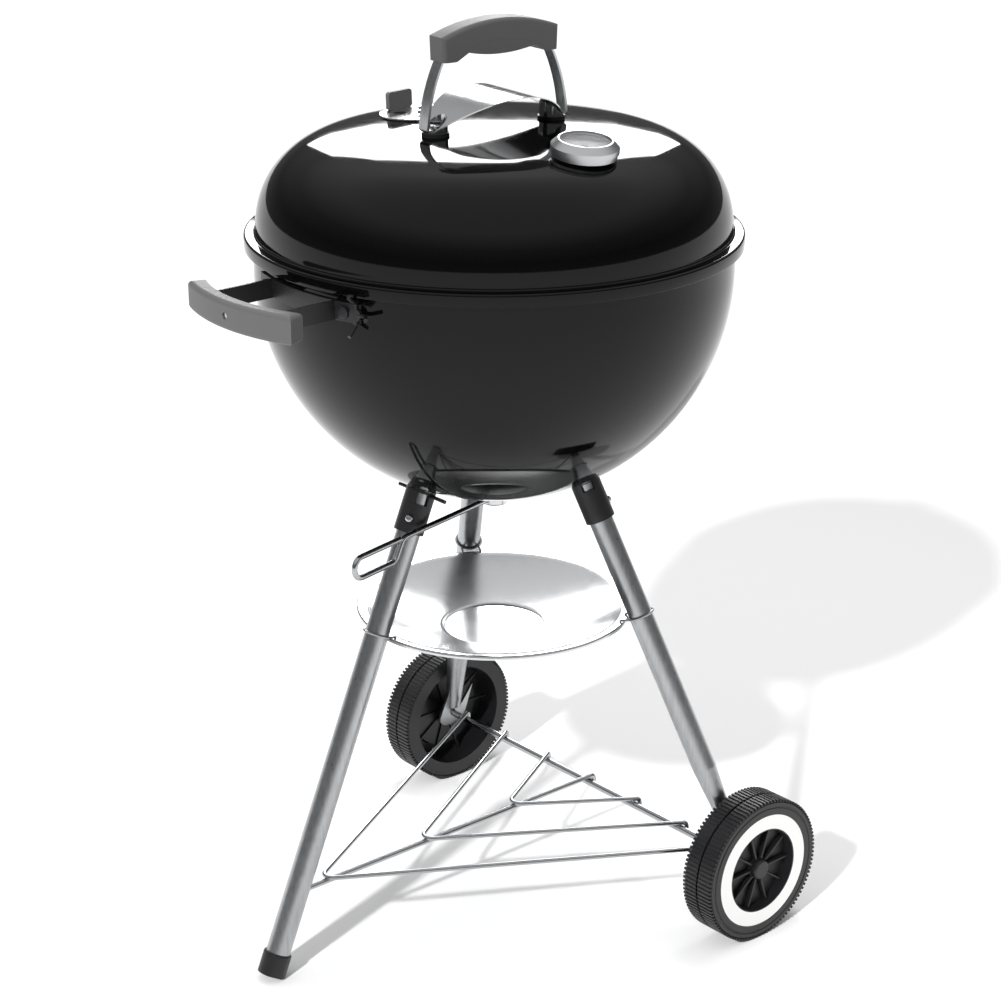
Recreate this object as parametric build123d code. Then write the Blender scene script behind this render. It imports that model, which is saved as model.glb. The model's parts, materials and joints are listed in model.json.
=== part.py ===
from build123d import *
import os
from math import asin, atan2, cos, degrees, pi, radians, sin, sqrt, tan

os.makedirs("parts", exist_ok=True)

# A kettle charcoal grill on three legs and two wheels.  Millimetres, +Z up.
# The pieces are drawn about the kettle's centre line, with the floor at z = 0;
# save() then moves them so that the middle of the whole object is at x = y = 0.
# The plain front leg points along -Y, the two wheeled legs to +X and -X behind.

# ---------------------------------------------------------------- kettle
rim_height = 754.0          # top of the lid's rolled flange above the floor
bowl_radius = 245.0         # outside of the bowl
bowl_sheet = 1.5            # enamelled steel
bowl_bead_radius = 3.2      # rolled rim of the bowl
bowl_straight = 31.0        # upright wall between the bead and the hemisphere
lid_wall_radius = bowl_radius - 2.9     # outside of the lid just above its flange
lid_sheet = 1.5
lid_rise = bowl_radius - 141.0            # flange top to the lid's top
lid_crown_radius = 2200.0   # the nearly flat top
lid_crown_reach = bowl_radius - 120.0     # where the flat top gives way to the haunch
lid_haunch_radius = 354.0
lid_shoulder_radius = 91.0
flange_reach = bowl_radius + 9.0        # outside of the lid's skirt
flange_corner = 2.5
skirt_depth = 13.0
lid_seat_gap = 0.3          # enamel to enamel, lid flange over bowl bead

# ---------------------------------------------------------------- legs
leg_diameter = 25.4
leg_wall = 1.2
socket_radius = 0.402 * bowl_radius        # where each leg's axis meets the bowl
front_lean = 23.05          # degrees from upright
rear_lean = 24.05
rear_turn = 120.0           # from the front leg to each rear leg
stub_clearance = 0.1        # stub in leg tube
stub_wall = 1.5
stub_length = 62.0
sleeve_radius = leg_diameter / 2 + 3.1
sleeve_clearance = 0.1
sleeve_length = 46.0
sleeve_gap = 1.0            # below the bowl
window_start = 3.0
window_width = 13.0
window_drop_front = 12.0
window_drop_rear = 8.0
window_turn = 64.0          # degrees around the leg from its outer side
stop_rod_diameter = 4.0
stop_rod_length = 74.0
stop_rod_inset = 2.5        # towards the kettle's centre from the leg's axis
stop_rod_drop = 4.5         # below the bowl, along the leg
button_drop = 31.0
button_diameter = 8.0
button_turn = 35.0
button_proud = 2.6
button_travel = 4.0
button_collar_inset = 4.0   # stub's inner wall to the collar's back
leaf_width = 6.0
leaf_sheet = 0.8
leaf_gap = 1.0              # leaf's middle to the pressed collar
button_fit = 0.05           # in the stub, which guides it
button_clearance = 0.3      # in the leg tube and the sleeve
foot_cap_radius = leg_diameter / 2 + 2.3
foot_cap_length = 24.0
foot_cap_floor = 4.0
foot_cap_lift = 4.4         # middle of the cap's end above the floor
taper_length = 100.0        # pinched lower end of each rear leg
taper_end_height = 12.0     # its end above the axle's centre
taper_wide = 9.0
taper_thin = 5.5

# ---------------------------------------------------------------- wheels
wheel_radius = 80.0
wheel_width = 40.5
tyre_depth = 19.0
tyre_corner = 2.5
wheel_inset = 0.14125 * wheel_radius          # tyre's inner face to the axle plate's middle
hub_radius = 12.0
hub_start = 8.5             # axle plate's middle to the hub
cap_room = 8.0              # hub's outer end to the tyre's outer face
web_sheet = 3.0
web_depth = 12.0            # tyre's outer face down to the web
recess_radius = wheel_radius - 34.0        # recess in the outer face
inner_rib_start = 12.0
rib_sheet = 2.5
rib_rise = 6.0
ribs = 10
face_sheet = 6.5
trim_inner = wheel_radius - 32.6
trim_outer = wheel_radius - 16.7
trim_sheet = 1.5
axle_diameter = 8.0
axle_clearance = 0.05
cap_gap = 0.4
axle_cap_radius = 11.0
axle_plate_sheet = 3.0
axle_plate_radius = 19.4
axle_ear_rise = 42.0
axle_notch_rise = 13.0

# ---------------------------------------------------------------- rack and dish
spine_diameter = 6.0
rack_wire_diameter = 5.0
rack_hook_drop = 12.0
wire_gap = 0.1
# each rack wire: its point forward of the axle as a share of the way to the front leg, and its
# half width as a share of the way from the middle to an axle plate
rack_wires = {"outer": (0.924, 0.910), "middle": (0.600, 0.620), "inner": (0.297, 0.314)}
ash_leg_gap = 2.1           # dish's edge to the front leg
ash_rim_height = 342.5
ash_flange = 9.0
ash_depth = 31.0
ash_sheet = 1.2
ash_lip = 4.0
ash_floor_radius = 56.0
ash_floor_step = 1.6
clip_wire = 2.6
clip_spread = 10.0
clip_reach = 4.5            # pegs inside the dish's edge
clip_play = 0.5             # peg in its hole
clip_hook = 6.0             # bent end under the flange

# ---------------------------------------------------------------- grates
cooking_radius = bowl_radius - 23.0
cooking_drop = 29.0         # below the lid's flange top
rod_diameter = 5.0
ring_diameter = 6.0
rod_pitch = 20.0
rod_sink = 1.5              # rods welded into the bars under them
rod_overrun = 0.6           # past the middle of the ring's wire
grip_loop_width = 70.0
grip_loop_rise = 20.0
coal_radius = 168.0
coal_pitch = 22.0
coal_gap = 0.05
tab_width = 20.0
tab_sheet = 2.0
tab_overlap = 8.0
tab_drop = 16.0

# ---------------------------------------------------------------- ash sweep
shaft_diameter = 8.0
shaft_clearance = 0.05
bush_radius = 7.0
bush_flange_radius = 11.0
bush_flange = 2.0
sweep_hub_radius = 14.0
sweep_hub_drop = 17.0       # bowl's bottom to the hub's underside
sweep_hub_height = 12.0
lever_wire = 6.0
lever_turn = 12.1           # from -Y towards +X
lever_reach = 228.0
lever_crank = 160.0
lever_crank_drop = 22.0
lever_return = 157.0
blade_gap = 0.4
blade_sheet = 1.2
blade_reach = 82.0
blade_angle = 50.0
vent_reach = (26.0, 74.0)
vent_angle = 38.0
vent_first = -30.0
vent_to_blade = 60.0        # blades wait between the vents at rest

# ---------------------------------------------------------------- side handle
bracket_height = 19.0
bracket_sheet = 2.5
bracket_arm = 50.0          # arms either side of the handle's middle
bracket_reach = bowl_radius + 76.0
bracket_drop = 31.0         # below the lid's flange top
bracket_ear = 79.0
bolt_place = 62.0
bolt_diameter = 6.0
bolt_head_radius = 6.0
bolt_head_height = 3.5
nut_height = 4.5
side_grip_reach = bracket_reach + 12.0
side_grip_half = 84.0
side_grip_sweep = 16.0
side_grip_back = bracket_reach - 5.0
side_grip_back_half = 78.0
side_grip_back_sweep = 17.0
side_grip_height = 29.0
side_grip_round = 5.0
grip_fit = 0.15
grip_screw_diameter = 4.0
grip_screw_head = 3.5
grip_screw_sink = 4.0       # its counterbore in the grip
grip_screw_recess = 1.5     # screw head below the grip's face
nut_across = 10.0
nut_gap = 0.1
hook_wire = 4.0
hook_disc_radius = 6.5
hook_reach = 8.0
hook_turn_up = 11.0
hook_tip = 8.0

# ---------------------------------------------------------------- lid handle
lid_turn = -5.0
bow_width = 15.0
bow_sheet = 2.5
bow_foot = 86.0
bow_tab = 24.0
bow_top = 59.0
bow_bulge = 80.5
bow_bar_drop = 15.0         # bar below the top of the grip
spacer_radius = 14.0
spacer_height = 3.5
handle_bolt_place = 71.0
handle_bolt_diameter = 6.0
handle_bolt_head = 5.5
lid_grip_half = 70.0
lid_grip_width = 28.0
lid_grip_top = rim_height + lid_rise + 109.0
lid_grip_end_drop = 13.0
lid_grip_under = lid_grip_top - 37.5
lid_grip_waist = lid_grip_top - 30.0
lid_grip_belly = lid_grip_top - 34.5
lid_grip_foot = 54.0
lid_grip_relief = 40.0
lid_grip_round = 4.5
insert_screw_place = 30.0
insert_half = 60.0
insert_crest = lid_grip_top - 20.0
shield_half_length = 79.0
shield_half_width = 45.0
shield_tip = 8.0
shield_cup = 12.5
shield_sheet = 1.2
shield_rise = 31.5

# ---------------------------------------------------------------- thermometer and damper
thermo_radius = bowl_radius - 98.7
thermo_azimuth = -4.3
thermo_body_radius = 32.0
thermo_body_height = 9.0
thermo_bezel_radius = 33.5
thermo_bezel_top = 27.0
thermo_bezel_height = 18.0
thermo_lens_sheet = 1.5
thermo_stem_diameter = 6.0
thermo_stem_length = 45.0
needle_length = 17.0
needle_sheet = 0.8
needle_pin_diameter = 2.4
damper_place = 100.0
damper_azimuth = 186.3
damper_radius = 45.0
damper_sheet = 1.5
damper_lift = 0.4
damper_holes = 4
damper_hole_radius = 7.0
damper_hole_place = 24.0
tab_length = 33.0
tab_rise = 19.0
tab_thick = 5.0
tab_place = 35.0
rivet_diameter = 6.0
rivet_clearance = 0.05

# ---------------------------------------------------------------- worked out
bead_height = rim_height - lid_sheet - lid_seat_gap - bowl_bead_radius
bowl_middle = bead_height - bowl_straight
bowl_inner = bowl_radius - bowl_sheet
bowl_bottom = bowl_middle - bowl_radius
leg_radius = leg_diameter / 2
stub_radius = leg_radius - leg_wall - stub_clearance
socket_height = bowl_middle - sqrt(bowl_radius**2 - socket_radius**2)
axle_height = wheel_radius
FRONT, RIGHT, LEFT = -90.0, -90.0 + rear_turn, -90.0 - rear_turn
LEGS = {"front": (FRONT, front_lean), "right": (RIGHT, rear_lean), "left": (LEFT, rear_lean)}


def leg_radius_at(lean, height):
    """Distance of a leg's axis from the kettle's centre line at a height."""
    return socket_radius + tan(radians(lean)) * (socket_height - height)


ash_rim_radius = leg_radius_at(front_lean, ash_rim_height) - leg_radius - ash_leg_gap
plate_x = leg_radius_at(rear_lean, axle_height) * cos(radians(RIGHT))
axle_y = leg_radius_at(rear_lean, axle_height) * sin(radians(RIGHT))
wheel_inner = plate_x - wheel_inset
wheel_outer = wheel_inner + wheel_width
hub_inner = plate_x + hub_start
hub_outer = wheel_outer - cap_room
handle_height = rim_height - bracket_drop
kettle_y = (side_grip_reach - flange_reach) / 2
SAVED = []


def save(name, shape):
    """One node to its own STEP file, moved to the middle of the whole object."""
    solids = [Pos(0, kettle_y, 0) * solid for solid in shape.solids()]
    whole = solids[0] if len(solids) == 1 else Compound(children=solids)
    whole.label = name
    export_step(whole, f"parts/{name}.step")
    SAVED.append(name)


def spun(*edges):
    """A closed outline in the XZ half-plane, turned about the centre line."""
    return revolve(make_face(edges), Axis.Z)


def outline(points):
    return Polyline(*[(x, 0, z) for x, z in points], close=True)


def disc_shape(points):
    return spun(outline(points))


def wire_rod(points, diameter, radius=None):
    """A round wire along straight runs joined by tangent arcs."""
    if radius is None:
        path = Polyline(*points)
    else:
        path = FilletPolyline(*points, radius=radius)
    start = Plane(origin=path @ 0, z_dir=path % 0)
    return sweep(start * Circle(diameter / 2), path=path)


def cylinder_on(plane, radius, start, length):
    """A cylinder along a plane's normal, from start for length."""
    return plane * Pos(0, 0, start) * Cylinder(radius, length, align=(Align.CENTER, Align.CENTER, Align.MIN))


def leg_plane(azimuth, lean, along):
    """On a leg's axis, Z up along the leg and X on its outer side."""
    a, t = radians(azimuth), radians(lean)
    outward = Vector(cos(a), sin(a), 0)
    up = Vector(0, 0, 1)
    axis = up * cos(t) - outward * sin(t)
    across = outward * cos(t) + up * sin(t)
    start = outward * socket_radius + up * socket_height
    return Plane(origin=start - axis * along, x_dir=across, z_dir=axis)


def along_leg(lean, height):
    return (socket_height - height) / cos(radians(lean))


# ---------------------------------------------------------------- lid profile
def lid_centres():
    """Centres and joints of the crown, haunch and shoulder arcs of the lid's outside."""
    top = rim_height + lid_rise
    crown = (0.0, top - lid_crown_radius)
    a = asin(lid_crown_reach / lid_crown_radius)
    joint = (lid_crown_reach, crown[1] + lid_crown_radius * cos(a))
    haunch = (joint[0] - lid_haunch_radius * sin(a), joint[1] - lid_haunch_radius * cos(a))
    across = lid_wall_radius - lid_shoulder_radius - haunch[0]
    reach = lid_haunch_radius - lid_shoulder_radius
    shoulder = (haunch[0] + across, haunch[1] + sqrt(reach**2 - across**2))
    b = atan2(across, shoulder[1] - haunch[1])
    return crown, a, haunch, b, shoulder


def lid_arcs(inward):
    """The lid's dome from its top to its wall, inward by some of the sheet."""
    crown, a, haunch, b, shoulder = lid_centres()

    def on(centre, radius, angle):
        r = radius - inward
        return (centre[0] + r * sin(angle), 0, centre[1] + r * cos(angle))

    parts = [
        (crown, lid_crown_radius, 0.0, a),
        (haunch, lid_haunch_radius, a, b),
        (shoulder, lid_shoulder_radius, b, pi / 2),
    ]
    return [ThreePointArc(on(c, r, s), on(c, r, (s + e) / 2), on(c, r, e)) for c, r, s, e in parts]


def lid_surface(distance):
    """Height and slope of the lid's outside at a distance from the centre line."""
    crown, a, haunch, b, shoulder = lid_centres()
    centre, radius = haunch, lid_haunch_radius
    if distance <= lid_crown_reach:
        centre, radius = crown, lid_crown_radius
    angle = asin((distance - centre[0]) / radius)
    return centre[1] + radius * cos(angle), angle


def lid_plane(distance, azimuth):
    """On the lid's outside, Z along its normal and X away from the centre line."""
    height, slope = lid_surface(distance)
    a = radians(azimuth)
    outward = Vector(cos(a), sin(a), 0)
    up = Vector(0, 0, 1)
    return Plane(
        origin=outward * distance + up * height,
        x_dir=outward * cos(slope) - up * sin(slope),
        z_dir=up * cos(slope) + outward * sin(slope),
    )


# ---------------------------------------------------------------- kettle bowl
def vent_wedge(azimuth, inner, outer, angle, low, high):
    """An upright wedge about the centre line, for vents and blades."""
    a, b = radians(azimuth - angle / 2), radians(azimuth + angle / 2)
    m = radians(azimuth)
    near = ThreePointArc(
        (inner * cos(b), inner * sin(b)), (inner * cos(m), inner * sin(m)), (inner * cos(a), inner * sin(a))
    )
    far = ThreePointArc(
        (outer * cos(a), outer * sin(a)), (outer * cos(m), outer * sin(m)), (outer * cos(b), outer * sin(b))
    )
    face = make_face([near, Line(near @ 1, far @ 0), far, Line(far @ 1, near @ 0)])
    return Pos(0, 0, low) * extrude(face, amount=high - low)


def bolt_plane(place):
    """On the bowl's wall at a bracket bolt, Z pointing away from the kettle."""
    y = -sqrt(bowl_radius**2 - place**2)
    return Plane(origin=(place, y, handle_height), x_dir=(0, 0, 1), z_dir=(place, y, 0))


def make_bowl():
    middle, r, t = bowl_middle, bowl_radius, bowl_sheet
    diagonal = cos(pi / 4)
    outer = ThreePointArc((0, 0, middle - r), (r * diagonal, 0, middle - r * diagonal), (r, 0, middle))
    i = r - t
    inner = ThreePointArc((i, 0, middle), (i * diagonal, 0, middle - i * diagonal), (0, 0, middle - i))
    top = bead_height
    shell = spun(
        outer,
        Line((r, 0, middle), (r, 0, top)),
        Line((r, 0, top), (i, 0, top)),
        Line((i, 0, top), (i, 0, middle)),
        inner,
        Line((0, 0, middle - i), (0, 0, middle - r)),
    )
    bead = Pos(0, 0, top) * Torus(i + bowl_bead_radius, bowl_bead_radius)
    shell += bead
    for n in range(3):
        shell -= vent_wedge(
            vent_first + 120 * n, vent_reach[0], vent_reach[1], vent_angle, bowl_bottom - 5, bowl_bottom + 40
        )
    shell -= Pos(0, 0, bowl_bottom) * Cylinder(bush_radius, 20)
    for place in (-bolt_place, bolt_place):
        shell -= cylinder_on(bolt_plane(place), bolt_diameter / 2, -10, 20)
    return shell


def bowl_cavity(inward):
    """The room inside the bowl, smaller all round by inward."""
    r = bowl_inner - inward
    return Pos(0, 0, bowl_middle) * Sphere(r) + cylinder_on(Plane.XY, r, bowl_middle, bowl_straight)


def make_grate_tabs():
    """Four bent tabs welded inside the wall, which carry the cooking grate."""
    low = grate_ring_height() - ring_diameter / 2 - tab_sheet
    reach = bowl_inner - cooking_radius + tab_overlap
    wall = bowl_cavity(0) - bowl_cavity(tab_sheet)
    tabs = []
    for n in range(4):
        foot = Pos(bowl_inner - reach / 2, 0, low + tab_sheet / 2) * Box(reach, tab_width, tab_sheet)
        back = Pos(bowl_inner, 0, low + tab_sheet - tab_drop / 2) * Box(20, tab_width, tab_drop)
        tabs += (Rot(0, 0, 45 + 90 * n) * ((foot & bowl_cavity(0)) + (back & wall))).solids()
    return Compound(children=tabs)


def joined(pieces):
    return pieces[0] + pieces[1:]


def grate_ring_height():
    return rim_height - cooking_drop - (rod_diameter + ring_diameter) / 2 + rod_sink


def grate_bar(start, reach, diameter, turn):
    """A bar through start, turned from X, that ends inside the ring's wire."""
    return Pos(*start) * turn * Rot(0, 90, 0) * Cylinder(diameter / 2, 2 * (reach + rod_overrun))


def hoop(middle, low):
    """A ring of eight-sided bar, flat on top where the rods are welded."""
    corner = ring_diameter / 2 / cos(pi / 8)
    turns = [pi * (2 * k + 1) / 8 for k in range(8)]
    return disc_shape([(middle + corner * cos(a), low + corner * sin(a)) for a in turns])


def grate(radius, pitch, low):
    """A hoop, two bars across it at the same height and parallel rods on top."""
    ring = radius - ring_diameter / 2
    high = low + (rod_diameter + ring_diameter) / 2 - rod_sink
    pieces = [hoop(ring, low)]
    for x in (-radius / 2, radius / 2):
        pieces.append(grate_bar((x, 0, low), sqrt(ring**2 - x**2), rod_diameter, Rot(0, 0, 90)))
    count = int((radius - pitch) / pitch)
    for n in range(-count, count + 1):
        y = n * pitch
        pieces.append(grate_bar((0, y, high), sqrt(ring**2 - y**2), rod_diameter, Rot(0, 0, 0)))
    return pieces


def make_cooking_grate():
    low = grate_ring_height()
    pieces = grate(cooking_radius, rod_pitch, low)
    half = grip_loop_width / 2
    reach = sqrt((cooking_radius - ring_diameter / 2) ** 2 - half**2) + rod_overrun
    foot, top = low - rod_overrun, rim_height - cooking_drop + grip_loop_rise
    for x in (-reach, reach):
        loop = [(x, -half, foot), (x, -half, top), (x, half, top), (x, half, foot)]
        pieces.append(wire_rod(loop, rod_diameter, 12))
    return joined(pieces)


def make_charcoal_grate():
    """The lower grate: its ring rests in the round of the bowl."""
    ring = coal_radius - ring_diameter / 2
    reach = bowl_inner - ring_diameter / 2 / cos(pi / 8) - coal_gap
    return joined(grate(coal_radius, coal_pitch, bowl_middle - sqrt(reach**2 - ring**2)))


# ---------------------------------------------------------------- legs
def button_plane(azimuth, lean):
    """At a snap button, Z pointing out of the leg."""
    leg = leg_plane(azimuth, lean, button_drop)
    turn = radians(button_turn)
    out = leg.x_dir * cos(turn) + leg.y_dir * sin(turn)
    return Plane(origin=leg.origin, x_dir=leg.z_dir, z_dir=out)


def button_hole(azimuth, lean, clearance):
    return cylinder_on(button_plane(azimuth, lean), button_diameter / 2 + clearance, 0, 30)


def stop_rod_line():
    """Middle of the rod across the top of the front socket."""
    leg = leg_plane(FRONT, front_lean, stop_rod_drop)
    return leg.origin + Vector(0, stop_rod_inset, 0)


def stop_rod_hole(extra):
    middle = stop_rod_line()
    return Pos(middle) * Rot(0, 90, 0) * Cylinder(stop_rod_diameter / 2 + extra, stop_rod_length)


def tube(plane, outside, inside, start, length):
    return cylinder_on(plane, outside, start, length) - cylinder_on(plane, inside, start - 1, length + 2)


def make_socket(name):
    azimuth, lean = LEGS[name]
    plane = leg_plane(azimuth, lean, 0)
    stub = tube(plane, stub_radius, stub_radius - stub_wall, -stub_length, stub_length + 20)
    stub -= Pos(0, 0, bowl_middle) * Sphere(bowl_radius)
    stub -= button_hole(azimuth, lean, button_fit)
    if name == "front":
        stub -= stop_rod_hole(0)
    return stub


def make_sleeve(name):
    azimuth, lean = LEGS[name]
    plane = leg_plane(azimuth, lean, 0)
    sleeve = tube(plane, sleeve_radius, leg_radius + sleeve_clearance, -sleeve_length, sleeve_length + 20)
    sleeve -= Pos(0, 0, bowl_middle) * Sphere(bowl_radius + sleeve_gap)
    drop = window_drop_front if name == "front" else window_drop_rear
    for turn in (-window_turn, window_turn):
        window = Pos(0, 0, -window_start - drop / 2) * Rot(0, 0, turn) * Pos(sleeve_radius, 0, 0)
        sleeve -= plane * window * Box(12, window_width, drop)
    sleeve -= button_hole(azimuth, lean, button_clearance)
    if name == "front":
        sleeve -= stop_rod_hole(0.3)
    return sleeve


def make_front_leg():
    plane = leg_plane(FRONT, front_lean, 0)
    bottom = along_leg(front_lean, foot_cap_lift) - foot_cap_floor
    leg = tube(plane, leg_radius, leg_radius - leg_wall, -bottom, bottom - window_start)
    leg -= button_hole(FRONT, front_lean, button_clearance)
    leg -= stop_rod_hole(0.3)
    spine = Pos(0, spine_start_y() + 20, spine_height()) * Rot(90, 0, 0)
    leg -= spine * Cylinder(spine_diameter / 2, 60, align=(Align.CENTER, Align.CENTER, Align.CENTER))
    return leg


def make_rear_leg(name):
    azimuth, lean = LEGS[name]
    plane = leg_plane(azimuth, lean, 0)
    end = along_leg(lean, axle_height + taper_end_height)
    straight = end - taper_length
    leg = tube(plane, leg_radius, leg_radius - leg_wall, -straight, straight - window_start)
    upper = plane * Pos(0, 0, -straight)
    lower = plane * Pos(0, 0, -end)
    t = leg_wall
    outside = loft([upper * Circle(leg_radius), lower * Ellipse(taper_thin, taper_wide)])
    inside = loft([upper * Circle(leg_radius - t), lower * Ellipse(taper_thin - t, taper_wide - t)])
    leg += outside - inside
    leg -= button_hole(azimuth, lean, button_clearance)
    leg -= axle_plate_solid(1 if name == "right" else -1)
    return leg


def axle_plate_plane(side):
    """At the axle, X along +Y, Y up the leg and Z away from the kettle."""
    slope = tan(radians(rear_lean)) * cos(radians(RIGHT))
    up = Vector(-side * slope, 0, 1).normalized()
    normal = Vector(0, 1, 0).cross(up)
    return Plane(origin=(side * plate_x, axle_y, axle_height), x_dir=(0, 1, 0), z_dir=normal)


def axle_plate_solid(side):
    """A flat plate with a round foot and two pointed ears beside the leg's end."""
    r = axle_plate_radius
    foot = ThreePointArc((r, 0), (0, -r), (-r, 0))
    ear, notch = axle_ear_rise, axle_notch_rise
    ears = Polyline((-r, 0), (-r + 2, ear), (-r / 2, notch), (r / 2, notch), (r - 2, ear), (r, 0))
    return axle_plate_plane(side) * extrude(make_face([foot, ears]), amount=axle_plate_sheet / 2, both=True)


def make_axle_plates():
    plates = []
    for side in (1, -1):
        plate = axle_plate_solid(side) - axle_rod(0.0)
        plates += plate.solids()
    return Compound(children=plates)


def axle_rod(extra):
    length = 2 * (hub_outer + cap_gap + 3)
    return Pos(0, axle_y, axle_height) * Rot(0, 90, 0) * Cylinder(axle_diameter / 2 + extra, length)


def make_axle_caps():
    caps = []
    for side in (1, -1):
        start = hub_outer + cap_gap
        length = cap_room - cap_gap - 1.0
        cap = Cylinder(axle_cap_radius, length, align=(Align.CENTER, Align.CENTER, Align.MIN))
        cap = fillet(cap.faces().sort_by(Axis.Z)[-1].edges(), 3)
        placed = Plane(origin=(side * start, axle_y, axle_height), z_dir=(side, 0, 0)) * cap
        caps += (placed - axle_rod(0.0)).solids()
    return Compound(children=caps)


def make_foot_cap():
    end = along_leg(front_lean, foot_cap_lift)
    plane = leg_plane(FRONT, front_lean, end)
    cap = cylinder_on(plane, foot_cap_radius, 0, foot_cap_length)
    cap = fillet(cap.faces().sort_by(Axis.Z)[-1].edges(), 2)
    cap -= cylinder_on(plane, leg_radius, foot_cap_floor, foot_cap_length)
    reach = leg_radius_at(front_lean, 0)
    return cap - Pos(0, -reach, -50) * Box(200, 200, 100)


# ---------------------------------------------------------------- wheels
def make_wheel(side):
    """A moulded wheel: tyre ring, outer face with a trim groove, ribbed web and hub."""
    r, c = wheel_radius, tyre_corner
    inner, outer = wheel_inner, wheel_outer
    tyre_inner = r - tyre_depth
    web = outer - web_depth
    bore = axle_diameter / 2 + axle_clearance
    groove = outer - trim_sheet
    sides = [
        (r - c, inner), (r, inner + c), (r, outer - c), (r - c, outer), (trim_outer, outer),
        (trim_outer, groove), (trim_inner, groove), (trim_inner, outer), (recess_radius, outer),
        (recess_radius - 2, web), (hub_radius, web), (hub_radius, hub_outer), (bore, hub_outer),
        (bore, hub_inner), (hub_radius, hub_inner), (hub_radius, web - web_sheet),
        (recess_radius, web - web_sheet), (recess_radius + 2, outer - face_sheet),
        (tyre_inner, outer - face_sheet), (tyre_inner, inner),
    ]
    wheel = disc_shape(sides)
    rib_inner = plate_x + inner_rib_start
    for n in range(ribs):
        turn = Rot(0, 0, 360 / ribs * n)
        length = recess_radius - hub_radius
        front = Pos(hub_radius + length / 2 - 0.5, 0, web + rib_rise / 2) * Box(length, rib_sheet, rib_rise)
        length = tyre_inner - hub_radius + 2
        height = web - web_sheet - rib_inner + 1
        back = Pos(hub_radius + length / 2 - 1, 0, rib_inner + height / 2) * Box(length, rib_sheet, height)
        wheel += turn * front
        wheel += turn * back
    return wheel_place(side) * wheel


def wheel_place(side):
    """Turns a shape made about Z so that it sits about the axle on one side."""
    return Plane(origin=(0, axle_y, axle_height), x_dir=(0, 1, 0), z_dir=(side, 0, 0))


def make_trim(side):
    ring = disc_shape([
        (trim_inner, wheel_outer - trim_sheet), (trim_outer, wheel_outer - trim_sheet),
        (trim_outer, wheel_outer), (trim_inner, wheel_outer),
    ])
    return wheel_place(side) * ring


# ---------------------------------------------------------------- rack
def spine_height():
    return axle_height + axle_diameter / 2 + spine_diameter / 2


def spine_start_y():
    return -leg_radius_at(front_lean, spine_height()) + 4


def make_spine():
    rear = axle_y + axle_diameter / 2 + spine_diameter / 2 + wire_gap
    z = spine_height()
    points = [(0, spine_start_y(), z), (0, rear, z), (0, rear, z - rack_hook_drop)]
    return wire_rod(points, spine_diameter, spine_diameter)


def make_rack_wire(name):
    forward, across = rack_wires[name]
    apex = axle_y - forward * (axle_y + leg_radius_at(front_lean, axle_height))
    half = across * plate_x
    r = rack_wire_diameter / 2
    high = spine_height() + spine_diameter / 2 + r
    low = axle_height + axle_diameter / 2 + r + wire_gap
    rear = axle_y + axle_diameter / 2 + r + wire_gap
    points = [
        (-half, rear, low - rack_hook_drop), (-half, rear, low), (0, apex, high),
        (half, rear, low), (half, rear, low - rack_hook_drop),
    ]
    bend = rack_wire_diameter
    return wire_rod(points, rack_wire_diameter, [bend, 2 * bend, bend]) - make_spine()


# ---------------------------------------------------------------- ash dish
def make_ash_dish():
    flange_inner = ash_rim_radius - ash_flange
    z = ash_rim_height
    t = ash_sheet
    radius = (flange_inner**2 + ash_depth**2) / (2 * ash_depth)
    centre = z - ash_depth + radius

    def below(distance, extra):
        return centre - sqrt((radius + extra) ** 2 - distance**2)

    floor = ash_floor_radius
    half_way = (floor + flange_inner) / 2
    up = ThreePointArc((floor, 0, below(floor, 0)), (half_way, 0, below(half_way, 0)), (flange_inner, 0, z))
    under = [(flange_inner, 0, z - t), (half_way, 0, below(half_way, t)), (floor, 0, below(floor, t))]
    down = ThreePointArc(*under)
    step = below(floor, 0) - ash_floor_step
    rim = ash_rim_radius
    dish = spun(
        Line((0, 0, step), (floor - 2, 0, step)),
        Line((floor - 2, 0, step), up @ 0),
        up,
        Polyline(up @ 1, (rim, 0, z), (rim, 0, z - ash_lip), (rim - t, 0, z - ash_lip)),
        Polyline((rim - t, 0, z - ash_lip), (rim - t, 0, z - t), down @ 0),
        down,
        Polyline(down @ 1, (floor - 2, 0, step - t), (0, 0, step - t), (0, 0, step)),
    )
    for name in LEGS:
        for side in (-1, 1):
            dish -= Pos(clip_peg(name, side)) * Cylinder(clip_wire / 2 + clip_play, 20)
    return dish


def clip_peg(name, side):
    """Where a clip's peg passes the dish's flange."""
    a = radians(LEGS[name][0])
    out = Vector(cos(a), sin(a), 0)
    along = Vector(-sin(a), cos(a), 0)
    return out * (ash_rim_radius - clip_reach) + along * (side * clip_spread) + Vector(0, 0, ash_rim_height)


def make_dish_clips():
    """A spring wire round each leg, its two ends hooked down through the dish's flange."""
    ring = leg_radius + clip_wire / 2
    back = sqrt(ring**2 - clip_spread**2)
    top = ash_rim_height + clip_wire / 2
    low = ash_rim_height - ash_sheet - clip_wire / 2 - 0.05
    clips = []
    for name, (azimuth, lean) in LEGS.items():
        plane = leg_plane(azimuth, lean, along_leg(lean, top + ring * sin(radians(lean)) + 0.3))
        clip = plane * Torus(ring, clip_wire / 2)
        for side in (-1, 1):
            start = plane.origin - plane.x_dir * back + plane.y_dir * (side * clip_spread)
            peg = clip_peg(name, side)
            over, under = Vector(peg.X, peg.Y, top), Vector(peg.X, peg.Y, low)
            end = under + plane.y_dir * (side * clip_hook)
            clip += wire_rod([start, over, under, end], clip_wire, clip_wire / 2 + 0.1)
        clips += (clip - cylinder_on(plane, leg_radius, -60, 120)).solids()
    return Compound(children=clips)


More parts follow.
